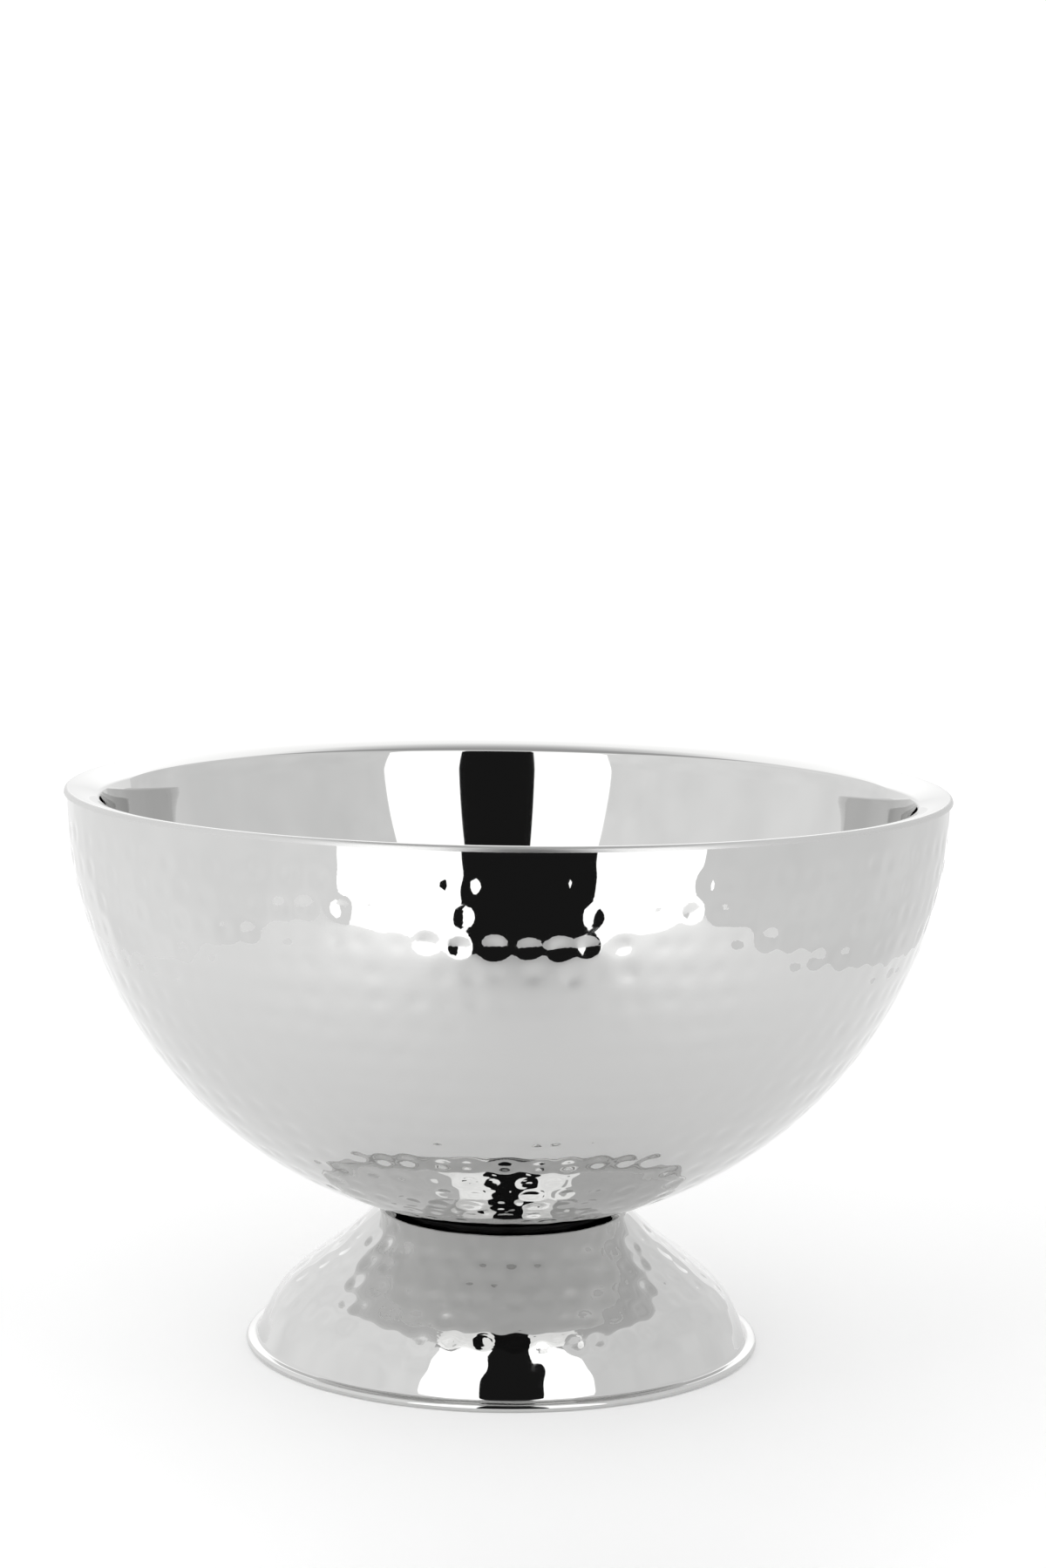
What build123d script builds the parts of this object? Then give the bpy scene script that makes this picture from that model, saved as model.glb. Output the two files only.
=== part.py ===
from build123d import *
from math import asin, cos, degrees, radians, sin, sqrt, tan
import os

# A double-wall punch bowl: a smooth liner is hemmed over a hammered outer bowl, and a bell foot is
# bolted under the outer bowl's flat floor. Millimetres, +Z up. The origin is the centre of the
# circle that the foot stands on, and every piece is turned about Z.

os.makedirs("parts", exist_ok=True)

# The bowl
rim_radius = 200.0  # outside of the rim's hem
rim_height = 257.0  # level of the outer bowl's centre, and of the rim before its edge is rounded
sheet = 0.8  # thickness of every spun sheet
slip = 0.05  # room between pieces that slide over each other
hem_depth = 2.7  # height of the hem's outer skirt
hem_bend = 2.2  # outer radius of the fold at the top of the rim
edge_drop = 2.3  # how far below the rim the outer bowl's edge ends inside the hem
flange_run, flange_slope = 8.9, 7.0  # length of the rim's flange, and degrees that it falls inwards
roll_run, roll_slope, roll_bend = 7.65, 27.0, 36.0  # where the flange rolls down towards the mouth
lip_bend = 3.0  # radius at the mouth
flare_run, flare_slope, flare_bend = 5.6, 72.0, 53.0  # the flared top of the liner's wall
wall_run, wall_slope = 4.35, 81.3  # the wall above the liner's sphere
floor_height = 64.0  # underside of the outer bowl's flat floor
floor_bend = 6.0  # radius between the outer bowl's wall and its floor

# The foot
foot_height = 62.7  # top of the foot's flat head
head_corner = 57.2  # radius where the head meets the neck
head_bend = 2.2
neck_point = (70.5, 49.9)  # radius and height where the neck eases into the slope
neck_bend = 80.0
skirt_point = (103.8, 23.9)  # where the slope turns down into the skirt
skirt_bend = 48.0
skirt_angle = 66.7  # degrees of the skirt below level
base_bend = 2.2  # radius where the skirt turns out into the base flange
bead_radius = 1.8  # outside of the curled edge
bead_edge = 117.5  # outermost radius of the curled edge
bead_curl = 240.0  # degrees that the edge is curled through
bead_flat = 0.15  # depth lapped off the curl so that it stands on a flat ring

# The M8 joint between foot and bowl
shank_radius = 3.95
bolt_hole = 4.5  # clearance hole radius in each sheet
bolt_head = (10.0, 3.0)  # radius and thickness
bolt_tip = 47.0  # height of the bolt's lower end
plate_size = (35.0, 1.5)  # radius and thickness of the plate that spreads the bolt's pull
gasket_rings = (30.0, 44.0)  # inner and outer radius
cushion_size = (17.0, 1.5)
washer_size = (15.0, 1.6)
washer_hole = 4.2
spring_size = (7.4, 2.0)
spring_hole = 4.05
spring_gap = 1.6  # width of the split
nut_flats = 13.0
nut_height = 6.5
nut_bore = 4.0
ease = 0.4  # chamfer on turned edges

# Heights down the joint, from the liner's side to the nut
floor_top = floor_height + sheet
plate_top = floor_top + plate_size[1]
head_under = foot_height - sheet
cushion_under = head_under - cushion_size[1]
washer_under = cushion_under - washer_size[1]
spring_under = washer_under - spring_size[1]
nut_under = spring_under - nut_height


def inward(point, length, slope):
    """The point that lies this far inwards and down a slope from another."""
    return (point[0] - length * cos(radians(slope)), point[1] - length * sin(radians(slope)))


# Smooth liner with its flange and the hem that folds over the outer bowl's edge
flange_end = inward((rim_radius, rim_height), flange_run, flange_slope)
roll_end = inward(flange_end, roll_run, roll_slope)
flare_end = inward(roll_end, flare_run, flare_slope)
wall_top = inward(flare_end, wall_run, wall_slope)
wall_start = 90 - wall_slope  # degrees below its centre where the liner's sphere begins
liner_radius = wall_top[0] / cos(radians(wall_start))
liner_height = wall_top[1] + liner_radius * sin(radians(wall_start))
with BuildPart() as inner_bowl:
    with BuildSketch(Plane.XZ):
        with BuildLine():
            FilletPolyline(
                (rim_radius, rim_height - hem_depth),
                (rim_radius, rim_height),
                flange_end,
                roll_end,
                flare_end,
                wall_top,
                radius=[hem_bend, roll_bend, lip_bend, flare_bend],
            )
            CenterArc((0, liner_height), liner_radius, -wall_start, wall_start - 90)
            offset(amount=sheet, side=Side.LEFT)
        make_face()
    revolve(axis=Axis.Z)
inner_bowl.part.label = "inner_bowl"
export_step(inner_bowl.part, "parts/inner_bowl.step")

# Hammered outer bowl, its edge held inside the liner's hem
shell_radius = rim_radius - sheet - slip
edge_angle = degrees(asin(edge_drop / shell_radius))
floor_angle = degrees(asin((rim_height - floor_height) / shell_radius))
floor_edge = (shell_radius * cos(radians(floor_angle)), floor_height)
with BuildPart() as outer_bowl:
    with BuildSketch(Plane.XZ):
        with BuildLine() as shell_line:
            CenterArc((0, rim_height), shell_radius, -edge_angle, edge_angle - floor_angle)
            Line(floor_edge, (bolt_hole, floor_height))
            corner = shell_line.vertices().sort_by_distance((floor_edge[0], floor_edge[1], 0))[0]
            fillet(corner, floor_bend)
            offset(amount=sheet, side=Side.RIGHT)
        make_face()
    revolve(axis=Axis.Z)
outer_bowl.part.label = "outer_bowl"
export_step(outer_bowl.part, "parts/outer_bowl.step")

# Plate inside the double wall that spreads the bolt head's pull over the thin floor
with BuildPart() as stud_plate:
    with BuildSketch(Plane.XY.offset(floor_top)):
        Circle(plate_size[0])
        Circle(bolt_hole, mode=Mode.SUBTRACT)
    extrude(amount=plate_size[1])
    chamfer(stud_plate.edges().group_by(Axis.Z)[-1].sort_by(SortBy.RADIUS)[-1], ease)
stud_plate.part.label = "stud_plate"
export_step(stud_plate.part, "parts/stud_plate.step")

# Low-headed M8 bolt, its thread drawn as a plain cylinder
with BuildPart() as foot_bolt:
    with BuildSketch(Plane.XY.offset(plate_top)):
        Circle(bolt_head[0])
    extrude(amount=bolt_head[1])
    with BuildSketch(Plane.XY.offset(bolt_tip)):
        Circle(shank_radius)
    extrude(amount=plate_top - bolt_tip)
    chamfer(foot_bolt.edges().group_by(Axis.Z)[-1], ease)
    chamfer(foot_bolt.edges().group_by(Axis.Z)[0], ease)
foot_bolt.part.label = "foot_bolt"
export_step(foot_bolt.part, "parts/foot_bolt.step")

# Rubber ring between the bowl's floor and the head of the foot
with BuildPart() as neck_gasket:
    with BuildSketch(Plane.XY.offset(foot_height)):
        Circle(gasket_rings[1])
        Circle(gasket_rings[0], mode=Mode.SUBTRACT)
    extrude(amount=floor_height - foot_height)
neck_gasket.part.label = "neck_gasket"
export_step(neck_gasket.part, "parts/neck_gasket.step")

# Bell foot: flat head, sloping neck, steeper skirt, base flange and a curled edge
skirt_run = 1 / tan(radians(skirt_angle))
bead_centre = (bead_edge - bead_radius, bead_radius - bead_flat)
flange_height = bead_centre[1] + bead_radius
flange_corner = (skirt_point[0] + (skirt_point[1] - flange_height) * skirt_run, flange_height)
with BuildPart() as foot:
    with BuildSketch(Plane.XZ):
        with BuildLine():
            FilletPolyline(
                (bolt_hole, foot_height),
                (head_corner, foot_height),
                neck_point,
                skirt_point,
                flange_corner,
                (bead_centre[0], flange_height),
                radius=[head_bend, neck_bend, skirt_bend, base_bend],
            )
            CenterArc(bead_centre, bead_radius, 90, -bead_curl)
            offset(amount=sheet, side=Side.RIGHT)
        make_face()
    revolve(axis=Axis.Z)
    split(bisect_by=Plane.XY, keep=Keep.TOP)
foot.part.label = "foot"
export_step(foot.part, "parts/foot.step")

# Rubber washer that keeps the steel one off the polished sheet
with BuildPart() as cushion_washer:
    with BuildSketch(Plane.XY.offset(cushion_under)):
        Circle(cushion_size[0])
        Circle(bolt_hole, mode=Mode.SUBTRACT)
    extrude(amount=cushion_size[1])
cushion_washer.part.label = "cushion_washer"
export_step(cushion_washer.part, "parts/cushion_washer.step")

# Wide flat washer
with BuildPart() as clamp_washer:
    with BuildSketch(Plane.XY.offset(washer_under)):
        Circle(washer_size[0])
        Circle(washer_hole, mode=Mode.SUBTRACT)
    extrude(amount=washer_size[1])
    chamfer(clamp_washer.edges().group_by(Axis.Z)[0].sort_by(SortBy.RADIUS)[-1], ease)
clamp_washer.part.label = "clamp_washer"
export_step(clamp_washer.part, "parts/clamp_washer.step")

# Split spring washer, drawn pressed flat, with its slanting cut
with BuildPart() as spring_washer:
    with BuildSketch(Plane.XY.offset(spring_under)):
        Circle(spring_size[0])
        Circle(spring_hole, mode=Mode.SUBTRACT)
    extrude(amount=spring_size[1])
    with BuildSketch(Plane.YZ):
        with Locations((0, spring_under + spring_size[1] / 2)):
            Rectangle(spring_gap, 3 * spring_size[1], rotation=25)
    extrude(amount=2 * spring_size[0], mode=Mode.SUBTRACT)
spring_washer.part.label = "spring_washer"
export_step(spring_washer.part, "parts/spring_washer.step")

# M8 hexagon nut with its corners turned off at both faces
corner_radius = nut_flats / sqrt(3)
with BuildPart() as foot_nut:
    with BuildSketch(Plane.XY.offset(nut_under)):
        RegularPolygon(nut_flats / 2, 6, major_radius=False)
    extrude(amount=nut_height)
    with BuildSketch(Plane.XZ):
        with BuildLine():
            Polyline(
                (nut_bore, nut_under),
                (nut_flats / 2, nut_under),
                (corner_radius, nut_under + ease),
                (corner_radius, spring_under - ease),
                (nut_flats / 2, spring_under),
                (nut_bore, spring_under),
                close=True,
            )
        make_face()
    revolve(axis=Axis.Z, mode=Mode.INTERSECT)
foot_nut.part.label = "foot_nut"
export_step(foot_nut.part, "parts/foot_nut.step")
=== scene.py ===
import math

import bpy
import numpy as np
from bpy.props import FloatProperty, FloatVectorProperty, IntProperty, PointerProperty
from bpy.types import Operator, Panel, PropertyGroup
from mathutils import Matrix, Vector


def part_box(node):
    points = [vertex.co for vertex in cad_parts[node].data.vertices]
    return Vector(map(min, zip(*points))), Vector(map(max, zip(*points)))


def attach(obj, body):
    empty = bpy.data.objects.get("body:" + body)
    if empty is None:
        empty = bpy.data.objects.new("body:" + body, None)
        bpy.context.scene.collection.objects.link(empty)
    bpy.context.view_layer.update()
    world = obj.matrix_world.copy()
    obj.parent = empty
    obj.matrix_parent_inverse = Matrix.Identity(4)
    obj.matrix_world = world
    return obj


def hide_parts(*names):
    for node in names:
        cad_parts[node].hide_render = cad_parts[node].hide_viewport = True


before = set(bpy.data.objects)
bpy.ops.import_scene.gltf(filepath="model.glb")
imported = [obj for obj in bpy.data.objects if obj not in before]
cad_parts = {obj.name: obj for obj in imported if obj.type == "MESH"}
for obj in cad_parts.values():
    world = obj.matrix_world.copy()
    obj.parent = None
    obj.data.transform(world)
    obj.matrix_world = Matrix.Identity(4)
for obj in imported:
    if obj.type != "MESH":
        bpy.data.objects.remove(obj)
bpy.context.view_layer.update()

bl_info = {
    "name": "Hammered Punch Bowl",
    "version": (1, 0, 0),
    "blender": (4, 5, 0),
    "location": "3D View > Sidebar > Punch Bowl",
    "description": "Dresses a double-wall punch bowl: hammered bowl and foot, smooth liner and studio",
    "category": "Object",
}

MM = 0.001
LINER_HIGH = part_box("inner_bowl")[1]
SHELL_LOW, SHELL_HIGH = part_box("outer_bowl")
FOOT_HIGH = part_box("foot")[1]
BOLT_HOLE = 4.5 * MM  # radius of the bolt's hole in the outer bowl and the foot


# ---------------------------------------------------------------- sizes and finishes


class BowlSizes(PropertyGroup):
    """The spun sheets' sections, which follow the model's own."""

    sheet: FloatProperty(
        name="Sheet", description="Thickness of every sheet", default=0.8 * MM, unit="LENGTH"
    )
    rim_height: FloatProperty(
        name="Rim height", description="Level of the outer bowl's centre", default=257 * MM, unit="LENGTH"
    )
    hem_depth: FloatProperty(
        name="Hem depth", description="Height of the hem's outer skirt", default=2.7 * MM, unit="LENGTH"
    )
    hem_bend: FloatProperty(
        name="Hem bend", description="Radius of the fold at the rim", default=2.2 * MM, unit="LENGTH"
    )


class HammerSizes(PropertyGroup):
    """How the dents are struck."""

    first_ring: FloatProperty(
        name="First ring", description="From the sheet's top edge to the first ring of dents",
        default=14.4 * MM, unit="LENGTH",
    )
    pitch: FloatProperty(
        name="Pitch", description="From one ring of dents to the next", default=12.6 * MM, unit="LENGTH"
    )
    spacing: FloatProperty(
        name="Spacing", description="From dent to dent along a ring", default=13.2 * MM, unit="LENGTH"
    )
    radius: FloatProperty(
        name="Dent radius", description="From a dent's middle to its steepest part", default=2.65 * MM,
        unit="LENGTH",
    )
    depth: FloatProperty(
        name="Dent depth", description="Depth of one dent", default=0.4 * MM, unit="LENGTH"
    )
    seed: IntProperty(name="Seed", description="Changes where the hammer fell", default=7)


class FinishColours(PropertyGroup):
    """Colours of the metals and the rubber."""

    steel: FloatVectorProperty(
        name="Steel", description="Mirror-polished stainless steel", subtype="COLOR",
        default=(0.605, 0.605, 0.6), min=0, max=1,
    )
    zinc: FloatVectorProperty(
        name="Zinc", description="Bright zinc plating", subtype="COLOR",
        default=(0.56, 0.58, 0.60), min=0, max=1,
    )
    rubber: FloatVectorProperty(
        name="Rubber", description="Black moulded rubber", subtype="COLOR",
        default=(0.035, 0.035, 0.035), min=0, max=1,
    )


class StageLook(PropertyGroup):
    """The studio round the bowl."""

    floor: FloatVectorProperty(
        name="Floor", description="Pale table", subtype="COLOR", default=(0.94, 0.94, 0.94), min=0, max=1
    )
    floor_glow: FloatProperty(
        name="Floor glow", description="Light that comes up through the table", default=0.15
    )
    sky: FloatProperty(name="Sky", description="Brightness of the white surround", default=1.08)
    softbox: FloatProperty(name="Softbox", description="Brightness of the two front panels", default=1.85)
    tent_left: FloatProperty(name="Left tent", description="Brightness of the left wall", default=1.08)
    tent_right: FloatProperty(name="Right tent", description="Brightness of the right wall", default=0.92)
    overhead: FloatProperty(name="Overhead", description="Brightness of the top light", default=0.1)


class BowlSettings(PropertyGroup):
    """Everything that a user of this bowl may change."""

    sizes: PointerProperty(type=BowlSizes)
    hammer: PointerProperty(type=HammerSizes)
    colours: PointerProperty(type=FinishColours)
    stage: PointerProperty(type=StageLook)


# ---------------------------------------------------------------- sections and turned meshes


def run_of(a, b, step):
    """Points from a towards b, a step apart or less, without b."""
    a, b = np.array(a, float), np.array(b, float)
    count = max(1, math.ceil(np.linalg.norm(b - a) / step))
    return [a + (b - a) * k / count for k in range(count)]


def arc_of(centre, radius, start, turn, step, least=3):
    """Points round an arc from angle start through turn, both in radians, without its end."""
    count = max(least, math.ceil(abs(turn) * radius / step))
    angles = start + turn * np.arange(count) / count
    return [np.array(centre) + radius * np.array([math.cos(a), math.sin(a)]) for a in angles]


def bent_path(corners, bends, step):
    """A path through straight runs with a round bend at each inner corner, as points (radius, height)."""
    corners = [np.array(c, float) for c in corners]
    path, here = [], corners[0]
    for before, corner, after, bend in zip(corners, corners[1:], corners[2:], bends):
        into = (corner - before) / np.linalg.norm(corner - before)
        out = (after - corner) / np.linalg.norm(after - corner)
        turn = math.atan2(into[0] * out[1] - into[1] * out[0], into @ out)
        back = bend * math.tan(abs(turn) / 2)
        side = math.copysign(1, turn)
        start = corner - into * back
        centre = start + side * bend * np.array([-into[1], into[0]])
        first = math.atan2(*(start - centre)[::-1])
        path += run_of(here, start, step)
        path += arc_of(centre, bend, first, turn, step, least=8)
        here = corner + out * back
    return path + run_of(here, corners[-1], step) + [corners[-1]]


def normals_of(path):
    """Unit normals on the left of a path of (radius, height) points."""
    along = np.gradient(path, axis=0)
    along /= np.linalg.norm(along, axis=1, keepdims=True)
    return np.stack([-along[:, 1], along[:, 0]], axis=1)


def lengths_of(path):
    """Distance of each point along its path."""
    return np.r_[0, np.cumsum(np.linalg.norm(np.diff(path, axis=0), axis=1))]


NO_RADIUS = 1e-9  # a ring smaller than this is one point
SHARP_EDGE = math.radians(50)


def turned_mesh(name, rows, closed):
    """A mesh turned about Z. rows is (rings, columns, 2) of radius and height, in the order that keeps
    the metal on the left. A ring of no radius becomes one point."""
    rings, columns = rows.shape[:2]
    angles = 2 * math.pi * np.arange(columns) / columns
    places, first = [], []
    for ring in rows:
        first.append(sum(len(p) for p in places))
        if ring[:, 0].max() < NO_RADIUS:
            places.append(np.array([[0, 0, ring[0, 1]]]))
        else:
            places.append(
                np.stack([ring[:, 0] * np.cos(angles), ring[:, 0] * np.sin(angles), ring[:, 1]], axis=1)
            )
    faces = []
    here = np.arange(columns)
    ahead = (here + 1) % columns
    for k in range(rings if closed else rings - 1):
        low, high = first[k], first[(k + 1) % rings]
        one_low, one_high = len(places[k]) == 1, len(places[(k + 1) % rings]) == 1
        if one_low:
            faces += np.stack([here * 0 + low, high + ahead, high + here], axis=1).tolist()
        elif one_high:
            faces += np.stack([low + here, low + ahead, here * 0 + high], axis=1).tolist()
        else:
            quads = [low + here, low + ahead, high + ahead, high + here]
            faces += np.stack(quads, axis=1).tolist()
    mesh = bpy.data.meshes.new(name)
    mesh.from_pydata(np.concatenate(places).tolist(), [], faces)
    mesh.shade_smooth()
    mesh.set_sharp_from_angle(angle=SHARP_EDGE)
    piece = bpy.data.objects.new(name, mesh)
    bpy.context.scene.collection.objects.link(piece)
    return piece


REACH = 3.2  # how far out a dent is felt, in dent radii


def strike(along, around, columns, rings, hammer, random):
    """How far the hammer pushed each point in. along and around are the distance along the section and
    the radius at each of its points; rings is (distance along, share of full depth) for each ring."""
    push = np.zeros((len(along), columns))
    for place, share in rings:
        radius = np.interp(place, along, around)
        count = max(6, round(2 * math.pi * radius / hammer.spacing))
        lead = random.random()
        for k in range(count):
            angle = 2 * math.pi * (k + lead + random.normal(0, 0.1)) / count
            level = place + random.normal(0, 0.045) * hammer.pitch
            size = hammer.radius * (1 + random.normal(0, 0.07))
            depth = hammer.depth * share * np.clip(1 + random.normal(0, 0.28), 0.25, 1.7)
            near = np.flatnonzero(abs(along - level) < size * REACH)
            reach = size * REACH / radius / (2 * math.pi) * columns
            middle = angle / (2 * math.pi) * columns
            beside = np.arange(math.ceil(middle - reach), math.floor(middle + reach) + 1)
            if not len(near) or not len(beside):
                continue
            across = (beside - middle) / columns * 2 * math.pi * around[near][:, None]
            square = (across**2 + (along[near][:, None] - level) ** 2) / size**2
            push[np.ix_(near, beside % columns)] += depth * np.exp(-square / 2)
    return push


def waves(along, around, columns, height, random):
    """The slow unevenness that planishing leaves in a sheet."""
    angles = 2 * math.pi * np.arange(columns) / columns
    field = np.zeros((len(along), columns))
    for _ in range(14):
        turns = int(random.integers(3, 24))
        stretch = random.uniform(30, 110)
        field += np.sin(turns * angles + random.uniform(0, 2 * math.pi)) * np.sin(
            along[:, None] * stretch + random.uniform(0, 2 * math.pi)
        )
    return field * height / 4


# ---------------------------------------------------------------- materials


def new_material(name):
    """An empty node material, with its tree and its Principled node."""
    material = bpy.data.materials.new(name)
    material.use_nodes = True
    tree = material.node_tree
    tree.nodes.clear()
    shader = tree.nodes.new("ShaderNodeBsdfPrincipled")
    output = tree.nodes.new("ShaderNodeOutputMaterial")
    tree.links.new(shader.outputs["BSDF"], output.inputs["Surface"])
    return material, tree, shader


def mixed(tree, kind, one, other):
    """A maths node of two inputs, each a socket or a number."""
    node = tree.nodes.new("ShaderNodeMath")
    node.operation = kind
    for socket, value in zip(node.inputs, (one, other)):
        if isinstance(value, (int, float)):
            socket.default_value = value
        else:
            tree.links.new(value, socket)
    return node.outputs[0]


def noise(tree, vector, scale, detail=2.0):
    """A noise pattern's strength at a vector."""
    node = tree.nodes.new("ShaderNodeTexNoise")
    node.inputs["Scale"].default_value = scale
    node.inputs["Detail"].default_value = detail
    tree.links.new(vector, node.inputs["Vector"])
    return node.outputs["Fac"]


def spread(tree, value, low, high):
    """Maps a pattern from 0.3-0.7 to low-high."""
    node = tree.nodes.new("ShaderNodeMapRange")
    node.inputs["From Min"].default_value = 0.3
    node.inputs["From Max"].default_value = 0.7
    node.inputs["To Min"].default_value = low
    node.inputs["To Max"].default_value = high
    tree.links.new(value, node.inputs["Value"])
    return node.outputs["Result"]


def bumped(tree, shader, height, distance):
    """Gives a shader a bump of this height, in metres."""
    node = tree.nodes.new("ShaderNodeBump")
    node.inputs["Strength"].default_value = 1.0
    node.inputs["Distance"].default_value = distance
    tree.links.new(height, node.inputs["Height"])
    tree.links.new(node.outputs["Normal"], shader.inputs["Normal"])


def object_place(tree):
    """Each point's place on the piece."""
    return tree.nodes.new("ShaderNodeTexCoord").outputs["Object"]


def turned_place(tree):
    """Each point's radius and height as a vector, so that a pattern runs in rings, as a lathe leaves it."""
    split = tree.nodes.new("ShaderNodeSeparateXYZ")
    tree.links.new(object_place(tree), split.inputs[0])
    square = mixed(
        tree,
        "ADD",
        mixed(tree, "MULTIPLY", split.outputs["X"], split.outputs["X"]),
        mixed(tree, "MULTIPLY", split.outputs["Y"], split.outputs["Y"]),
    )
    join = tree.nodes.new("ShaderNodeCombineXYZ")
    tree.links.new(mixed(tree, "POWER", square, 0.5), join.inputs["X"])
    tree.links.new(split.outputs["Z"], join.inputs["Y"])
    return join.outputs[0]


def polished_steel(name, colour, mist, satin_from=None):
    """Mirror-polished steel: faint buffing rings, a mist of fingerprints, and very fine unevenness.
    Beyond the radius satin_from it is only brushed, as a hem is."""
    material, tree, shader = new_material(name)
    shader.inputs["Base Color"].default_value = (*colour, 1)
    shader.inputs["Metallic"].default_value = 1.0
    rings = noise(tree, turned_place(tree), 900, 3)
    mists = noise(tree, object_place(tree), 26, 4)
    rough = mixed(tree, "ADD", spread(tree, rings, 0.0, mist), spread(tree, mists, 0.012, 0.012 + mist))
    if satin_from:
        split = tree.nodes.new("ShaderNodeSeparateXYZ")
        tree.links.new(turned_place(tree), split.inputs[0])
        edge = tree.nodes.new("ShaderNodeMapRange")
        edge.inputs["From Min"].default_value = satin_from
        edge.inputs["From Max"].default_value = satin_from + 1 * MM
        edge.inputs["To Max"].default_value = 0.32
        tree.links.new(split.outputs["X"], edge.inputs["Value"])
        rough = mixed(tree, "ADD", rough, edge.outputs["Result"])
    tree.links.new(rough, shader.inputs["Roughness"])
    bumped(tree, shader, rings, 0.0000012)
    return material


def plated_steel(name, colour):
    """Zinc-plated hardware: turned rings and a fine grain."""
    material, tree, shader = new_material(name)
    shader.inputs["Base Color"].default_value = (*colour, 1)
    shader.inputs["Metallic"].default_value = 1.0
    rings = noise(tree, turned_place(tree), 2600, 2)
    grain = noise(tree, object_place(tree), 1400, 4)
    tree.links.new(spread(tree, grain, 0.2, 0.42), shader.inputs["Roughness"])
    bumped(tree, shader, mixed(tree, "ADD", rings, grain), 0.00001)
    return material


def moulded_rubber(name, colour):
    """Matt black rubber with a moulded grain."""
    material, tree, shader = new_material(name)
    shader.inputs["Base Color"].default_value = (*colour, 1)
    grain = noise(tree, object_place(tree), 1800, 5)
    tree.links.new(spread(tree, grain, 0.5, 0.75), shader.inputs["Roughness"])
    bumped(tree, shader, grain, 0.00004)
    return material


def glowing(name, strength, uneven=0.0, scale=3.0):
    """A card of lit cloth, a little brighter in some places than in others."""
    material = bpy.data.materials.new(name)
    material.use_nodes = True
    tree = material.node_tree
    tree.nodes.clear()
    glow = tree.nodes.new("ShaderNodeEmission")
    glow.inputs["Strength"].default_value = strength
    if uneven:
        pattern = noise(tree, object_place(tree), scale)
        tree.links.new(
            spread(tree, pattern, strength * (1 - uneven), strength * (1 + uneven)), glow.inputs["Strength"]
        )
    output = tree.nodes.new("ShaderNodeOutputMaterial")
    tree.links.new(glow.outputs[0], output.inputs["Surface"])
    return material


# ---------------------------------------------------------------- stage


SKY_STEPS = ((0.34, 1.5), (0.7, 1.3), (0.86, 0.5))  # sine of the height above the horizon, brightness
CAMERA_PLACE = (0, -1.55416, 0.44637)
CAMERA_PITCH = 0.121
CAMERA_YAW = 0.0041
CAMERA_ROLL = 0.0142
CAMERA_LENS = 79.34
PANELS_AT = -0.5  # how far along Y the upright panels stand
PANEL_TOP = 0.9
GAP = (-0.08, 0.16)  # left and right edges of the dark gap between the two softboxes
SOFTBOX_ENDS = (-0.36, 0.47)  # their outer edges, where the tent's cloth begins
TENT_SIDE, TENT_BACK, TENT_TOP = 0.48, 0.9, 1.3
FLOOR_CLEAR = 0.4 * MM  # room between the floor and what stands on it
FLOOR_HALF = 6.0  # half the floor's side
FLOOR_DROP = 0.05 * MM  # how far the floor lies below the foot
LAMP_SIDE, LAMP_HEIGHT = 2.0, 2.0


def card(name, points, material):
    """A flat card through these points that only reflections and light can see."""
    mesh = bpy.data.meshes.new(name)
    mesh.from_pydata([tuple(p) for p in points], [], [tuple(range(len(points)))])
    piece = bpy.data.objects.new(name, mesh)
    bpy.context.scene.collection.objects.link(piece)
    mesh.materials.append(material)
    piece.visible_camera = False
    return piece


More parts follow.
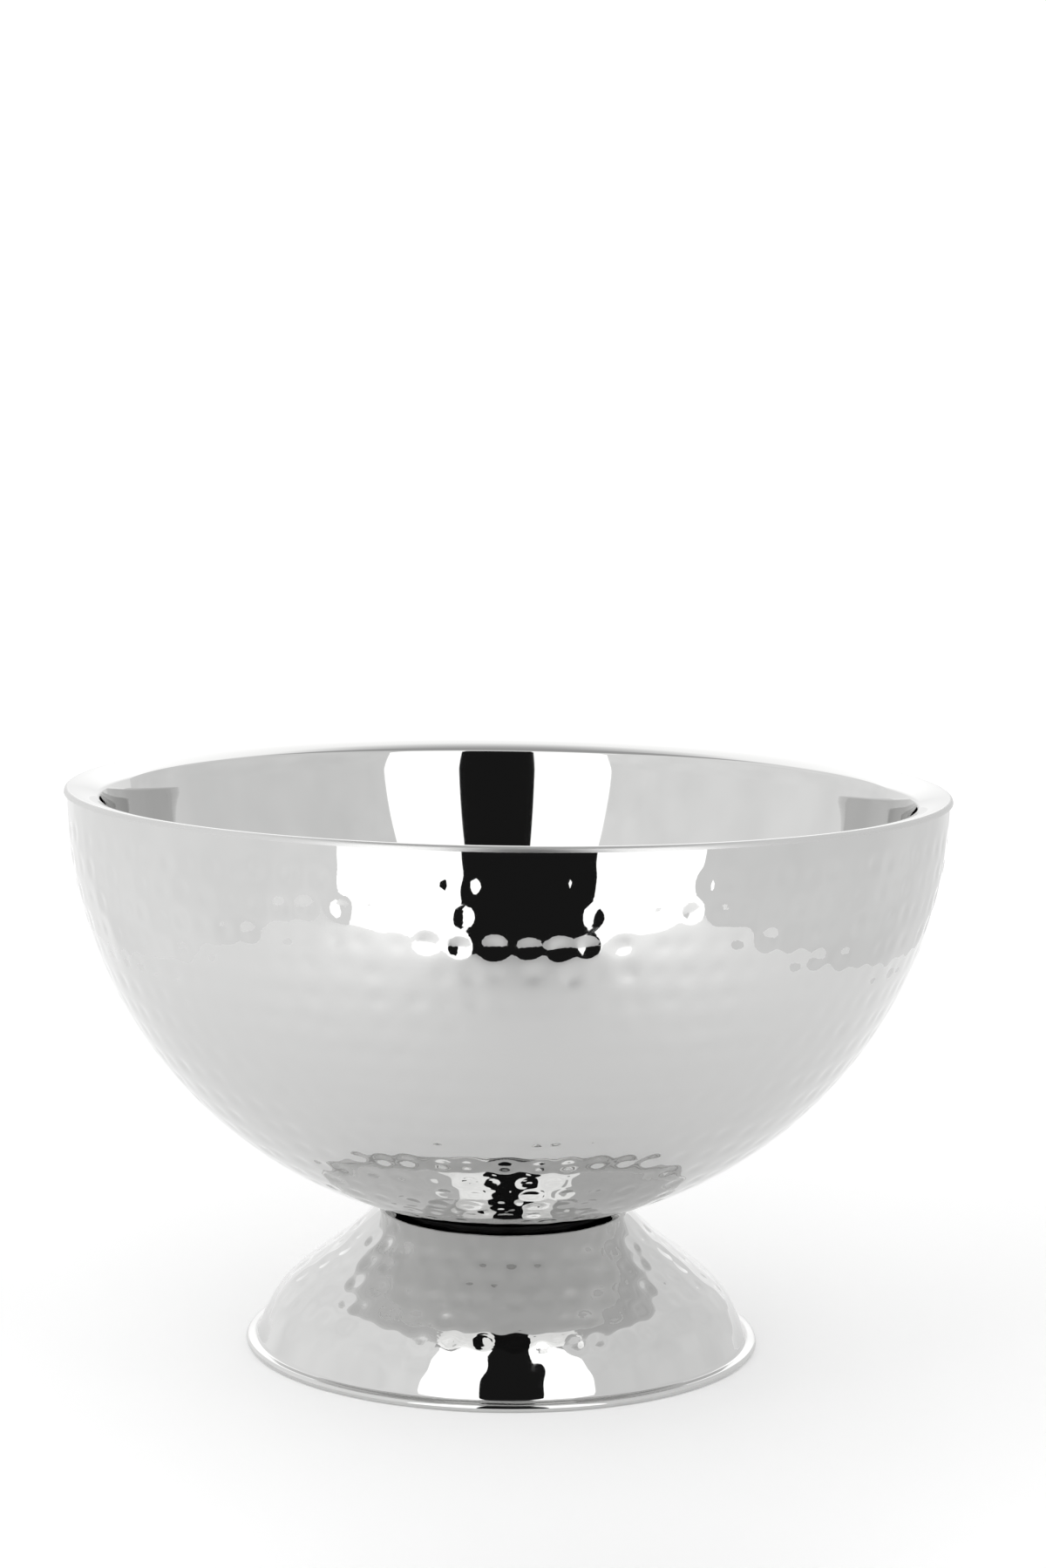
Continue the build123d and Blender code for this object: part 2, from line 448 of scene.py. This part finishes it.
class PUNCH_OT_stage(Operator):
    """Sets up the camera, the pale floor and the soft light"""

    bl_idname = "punch.stage"
    bl_label = "Stage"

    def execute(self, context):
        look = context.scene.punch_bowl.stage
        scene = context.scene
        camera = bpy.data.objects.new("camera", bpy.data.cameras.new("camera"))
        scene.collection.objects.link(camera)
        camera.data.lens = CAMERA_LENS
        camera.data.sensor_width = 36
        camera.data.clip_end = 50
        camera.matrix_world = (
            Matrix.Translation(CAMERA_PLACE)
            @ Matrix.Rotation(-CAMERA_YAW, 4, "Z")
            @ Matrix.Rotation(math.pi / 2 - CAMERA_PITCH, 4, "X")
            @ Matrix.Rotation(CAMERA_ROLL, 4, "Z")
        )
        scene.camera = camera
        scene.view_settings.view_transform = "Standard"

        world = bpy.data.worlds.new("surround")
        world.use_nodes = True
        tree = world.node_tree
        split = tree.nodes.new("ShaderNodeSeparateXYZ")
        tree.links.new(tree.nodes.new("ShaderNodeTexCoord").outputs["Generated"], split.inputs[0])
        ramp = tree.nodes.new("ShaderNodeValToRGB")
        tree.links.new(split.outputs["Z"], ramp.inputs[0])
        ramp.color_ramp.elements[0].position = 0.12
        for place, light in SKY_STEPS:
            ramp.color_ramp.elements.new(place).color = (light, light, light, 1)
        ramp.color_ramp.elements[0].color = (1, 1, 1, 1)
        ramp.color_ramp.elements[-1].color = (0.45, 0.45, 0.45, 1)
        tree.links.new(ramp.outputs[0], tree.nodes["Background"].inputs["Color"])
        tree.nodes["Background"].inputs["Strength"].default_value = look.sky
        scene.world = world

        floor = bpy.data.meshes.new("floor")
        turns = ((-1, -1), (1, -1), (1, 1), (-1, 1))
        floor.from_pydata([(x * FLOOR_HALF, y * FLOOR_HALF, 0) for x, y in turns], [], [(0, 1, 2, 3)])
        table = bpy.data.objects.new("floor", floor)
        table.location.z = -FLOOR_DROP
        scene.collection.objects.link(table)
        material, tree, shader = new_material("pale_floor")
        shader.inputs["Base Color"].default_value = (*look.floor, 1)
        shader.inputs["Specular IOR Level"].default_value = 0.0
        shader.inputs["Emission Color"].default_value = (1, 1, 1, 1)
        shader.inputs["Emission Strength"].default_value = look.floor_glow
        grain = noise(tree, object_place(tree), 40)
        tree.links.new(spread(tree, grain, 0.8, 1.0), shader.inputs["Roughness"])
        floor.materials.append(material)

        dark = glowing("dark_card", 0.013)
        white = glowing("softbox_card", look.softbox, 0.08, 9.0)
        left = glowing("left_tent_card", look.tent_left, 0.05, 5.0)
        right = glowing("right_tent_card", look.tent_right, 0.05, 5.0)
        fronts = (
            ("tent_front_left", left), ("softbox_left", white), ("gap", dark), ("softbox_right", white),
            ("tent_front_right", right),
        )
        edges = (-TENT_SIDE, SOFTBOX_ENDS[0], *GAP, SOFTBOX_ENDS[1], TENT_SIDE)
        y, low = PANELS_AT, FLOOR_CLEAR
        for (name, material), start, end in zip(fronts, edges, edges[1:]):
            corners = [(start, y, low), (end, y, low), (end, y, PANEL_TOP), (start, y, PANEL_TOP)]
            card(name, corners, material)
        for name, x, material in (("tent_left", -TENT_SIDE, left), ("tent_right", TENT_SIDE, right)):
            corners = [(x, y, low), (x, TENT_BACK, low), (x, TENT_BACK, TENT_TOP), (x, y, TENT_TOP)]
            card(name, corners, material)

        top = bpy.data.lights.new("overhead", "AREA")
        top.shape = "RECTANGLE"
        top.size, top.size_y = LAMP_SIDE, LAMP_SIDE
        top.energy = look.overhead * math.pi * top.size * top.size_y
        lamp = bpy.data.objects.new("overhead", top)
        lamp.location = (0, 0, LAMP_HEIGHT)
        lamp.visible_camera = False
        lamp.visible_glossy = False
        scene.collection.objects.link(lamp)
        return {"FINISHED"}


# ---------------------------------------------------------------- the bowl


def place(piece, node, slot):
    """Puts a finished piece in its node's place on the body."""
    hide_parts(node)
    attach(piece, "root")


# Lengths and falls, in degrees, of the liner's straight runs from the rim to its sphere, and the bends
# between them: the flange, the roll, the flare and the top of the wall
RIM_RUNS = ((8.9 * MM, 7), (7.65 * MM, 27), (5.6 * MM, 72), (4.35 * MM, 81.3))
RIM_BENDS = (36 * MM, 3 * MM, 53 * MM)


def inward(point, length, slope):
    """The point that lies this far inwards and down a slope, in degrees, from another."""
    angle = math.radians(slope)
    return (point[0] - length * math.cos(angle), point[1] - length * math.sin(angle))


class PUNCH_OT_liner(Operator):
    """Turns the smooth liner with its flange and hem"""

    bl_idname = "punch.liner"
    bl_label = "Liner"

    def execute(self, context):
        settings = context.scene.punch_bowl
        sizes = settings.sizes
        rim = (LINER_HIGH.x, sizes.rim_height)
        corners = [(rim[0], rim[1] - sizes.hem_depth), rim]
        for length, slope in RIM_RUNS:
            corners.append(inward(corners[-1], length, slope))
        top, start = corners[-1], math.radians(90 - RIM_RUNS[-1][1])
        radius = top[0] / math.cos(start)
        centre = (0, top[1] + radius * math.sin(start))
        wet = bent_path(corners, [sizes.hem_bend, *RIM_BENDS], 1.5 * MM)[:-1]
        wet += arc_of(centre, radius, -start, start - math.pi / 2, 3 * MM)
        wet = np.array(wet)
        dry = wet + normals_of(wet) * sizes.sheet
        wet = np.vstack([wet, [0, centre[1] - radius]])
        dry = np.vstack([dry, [0, centre[1] - radius - sizes.sheet]])
        section = np.vstack([dry[::-1], wet])
        rows = np.repeat(section[:, None, :], LINER_COLUMNS, axis=1)
        piece = turned_mesh("liner", rows, closed=False)
        hem_starts = rim[0] - sizes.hem_bend
        steel = polished_steel("liner_steel", settings.colours.steel, 0.012, satin_from=hem_starts)
        piece.data.materials.append(steel)
        place(piece, "inner_bowl", "liner_steel")
        return {"FINISHED"}


def hammered_rows(path, thickness, side, columns, rings, hammer, random, wave):
    """Rings of points for both faces of a hammered sheet. path is the face that shows, thickness the
    metal behind it, and side +1 where that metal lies on the left of the path."""
    path = np.array(path)
    along = lengths_of(path)
    push = strike(along, path[:, 0], columns, rings, hammer, random)
    push = push + waves(along, path[:, 0], columns, wave, random)
    into_metal = normals_of(path) * side
    face = path[:, None, :] + into_metal[:, None, :] * push[:, :, None]
    back = face + into_metal[:, None, :] * thickness
    return face, back


LINER_COLUMNS, BOWL_COLUMNS, FOOT_COLUMNS = 360, 600, 420  # points round each turned mesh
# On the foot's slope: the distance of each ring of dents from the head's edge in millimetres, and its
# share of the full depth
FOOT_RINGS = ((9, 1.3), (20, 1.2), (31, 1.1), (42, 1.0), (53, 0.9), (64, 0.4))


class PUNCH_OT_outer_bowl(Operator):
    """Turns and hammers the outer bowl"""

    bl_idname = "punch.outer_bowl"
    bl_label = "Outer bowl"

    def execute(self, context):
        settings = context.scene.punch_bowl
        sizes, hammer = settings.sizes, settings.hammer
        random = np.random.default_rng(hammer.seed)
        middle = sizes.rim_height
        radius = math.hypot(SHELL_HIGH.x, middle - SHELL_HIGH.z)
        top = math.asin((middle - SHELL_HIGH.z) / radius)
        bottom = math.asin((middle - SHELL_LOW.z) / radius)
        path = arc_of((0, middle), radius, -top, top - bottom, 1.86 * MM)
        path += run_of((radius * math.cos(bottom), SHELL_LOW.z), (BOLT_HOLE, SHELL_LOW.z), 4 * MM)
        path = np.array([*path, (BOLT_HOLE, SHELL_LOW.z)])
        rings, place_now, gap = [], hammer.first_ring, hammer.pitch
        while place_now < radius * (bottom - top) - 6 * MM:
            rings.append((place_now, 1.0))
            place_now += gap
            gap += 0.12 * MM
        face, _ = hammered_rows(path, sizes.sheet, -1, BOWL_COLUMNS, rings, hammer, random, 0.06 * MM)
        # the dents fade out towards the hem, and the hidden face stays smooth and coarse
        edge = np.clip((sizes.rim_height - path[:, 1] - 2.5 * MM) / (4 * MM), 0, 1)
        smooth = np.repeat(path[:, None, :], BOWL_COLUMNS, axis=1)
        face = smooth + (face - smooth) * edge[:, None, None]
        keep = np.unique(np.r_[np.arange(0, len(path), 11), len(path) - 1])
        inner = path + -normals_of(path) * sizes.sheet
        back = np.repeat(inner[keep][:, None, :], BOWL_COLUMNS, axis=1)
        rows = np.concatenate([face[::-1], back])
        piece = turned_mesh("hammered_bowl", rows, closed=True)
        piece.data.materials.append(polished_steel("bowl_steel", settings.colours.steel, 0.01))
        place(piece, "outer_bowl", "hammered_steel")
        return {"FINISHED"}


class PUNCH_OT_foot(Operator):
    """Turns and hammers the bell foot"""

    bl_idname = "punch.foot"
    bl_label = "Foot"

    def execute(self, context):
        settings = context.scene.punch_bowl
        sizes, hammer = settings.sizes, settings.hammer
        random = np.random.default_rng(hammer.seed + 1)
        top = FOOT_HIGH.z
        bead = 1.8 * MM
        bead_centre = (FOOT_HIGH.x - bead, bead - 0.15 * MM)
        flange = bead_centre[1] + bead
        skirt = (103.8 * MM, 23.9 * MM)
        turn_out = (skirt[0] + (skirt[1] - flange) / math.tan(math.radians(66.7)), flange)
        path = bent_path(
            [(BOLT_HOLE, top), (57.2 * MM, top), (70.5 * MM, 49.9 * MM), skirt, turn_out,
             (bead_centre[0], flange)],
            [2.2 * MM, 80 * MM, 48 * MM, 2.2 * MM],
            1.7 * MM,
        )[:-1]
        path += arc_of(bead_centre, bead, math.pi / 2, -math.radians(240), 0.6 * MM)
        head = 57 * MM
        rings = [(head + distance * MM, share) for distance, share in FOOT_RINGS]
        face, back = hammered_rows(path, sizes.sheet, -1, FOOT_COLUMNS, rings, hammer, random, 0.08 * MM)
        rows = np.concatenate([face[::-1], back])
        rows[:, :, 1] = np.maximum(rows[:, :, 1], 0)
        piece = turned_mesh("hammered_foot", rows, closed=True)
        piece.data.materials.append(polished_steel("foot_polish", settings.colours.steel, 0.012))
        place(piece, "foot", "foot_steel")
        return {"FINISHED"}


class PUNCH_OT_hardware(Operator):
    """Gives the gasket, washers, nut, bolt and plate their finishes"""

    bl_idname = "punch.hardware"
    bl_label = "Gasket and hardware"

    def execute(self, context):
        colours = context.scene.punch_bowl.colours
        rubber = moulded_rubber("black_rubber", colours.rubber)
        zinc = plated_steel("zinc_plate", colours.zinc)
        rolled = plated_steel("rolled_steel", colours.steel)
        for node, material in (
            ("neck_gasket", rubber), ("cushion_washer", rubber), ("clamp_washer", zinc),
            ("spring_washer", zinc), ("foot_nut", zinc), ("foot_bolt", zinc), ("stud_plate", rolled),
        ):
            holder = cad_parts[node].material_slots[0]
            holder.link = "OBJECT"
            holder.material = material
        return {"FINISHED"}


class PUNCH_PT_panel(Panel):
    """Lists the pieces in the sidebar"""

    bl_label = "Punch Bowl"
    bl_space_type = "VIEW_3D"
    bl_region_type = "UI"
    bl_category = "Punch Bowl"

    def draw(self, context):
        for operator in STEPS:
            self.layout.operator(operator.bl_idname)
        settings = context.scene.punch_bowl
        for group in (settings.sizes, settings.hammer, settings.colours, settings.stage):
            box = self.layout.box()
            for name in group.__annotations__:
                box.prop(group, name)


STEPS = (PUNCH_OT_stage, PUNCH_OT_liner, PUNCH_OT_outer_bowl, PUNCH_OT_foot, PUNCH_OT_hardware)
GROUPS = (BowlSizes, HammerSizes, FinishColours, StageLook, BowlSettings)


def register():
    for kind in (*GROUPS, *STEPS, PUNCH_PT_panel):
        bpy.utils.register_class(kind)
    bpy.types.Scene.punch_bowl = PointerProperty(type=BowlSettings)


def unregister():
    del bpy.types.Scene.punch_bowl
    for kind in reversed((*GROUPS, *STEPS, PUNCH_PT_panel)):
        bpy.utils.unregister_class(kind)


def main():
    register()
    bpy.ops.punch.stage()
    bpy.ops.punch.liner()
    bpy.ops.punch.outer_bowl()
    bpy.ops.punch.foot()
    bpy.ops.punch.hardware()


if __name__ == "__main__":
    main()
